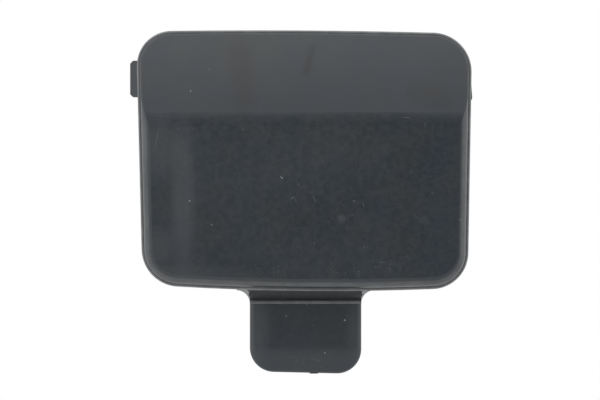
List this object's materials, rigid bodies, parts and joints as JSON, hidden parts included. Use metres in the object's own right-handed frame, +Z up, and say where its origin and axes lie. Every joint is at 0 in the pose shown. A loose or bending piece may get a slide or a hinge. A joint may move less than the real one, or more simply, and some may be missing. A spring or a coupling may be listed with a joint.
{
  "type": "tow hook cover",
  "caption": "Rounded rectangular plastic cap with a creased face, hollow back, side snap lugs and a lower tongue, closing the towing-eye opening in a bumper.",
  "frame": {"origin": "middle of the seat plane, where the back of the rim lies on the bumper", "axes": "+Z up, +Y into the bumper, so the visible face looks along -Y and +X is to its right"},
  "size_m": [0.0825, 0.0155, 0.0826],
  "materials": {
    "cover": "satin, moulded-in black, lightly scuffed"
  },
  "bodies": {
    "root": {"cover": "cover"}
  },
  "joints": []
}
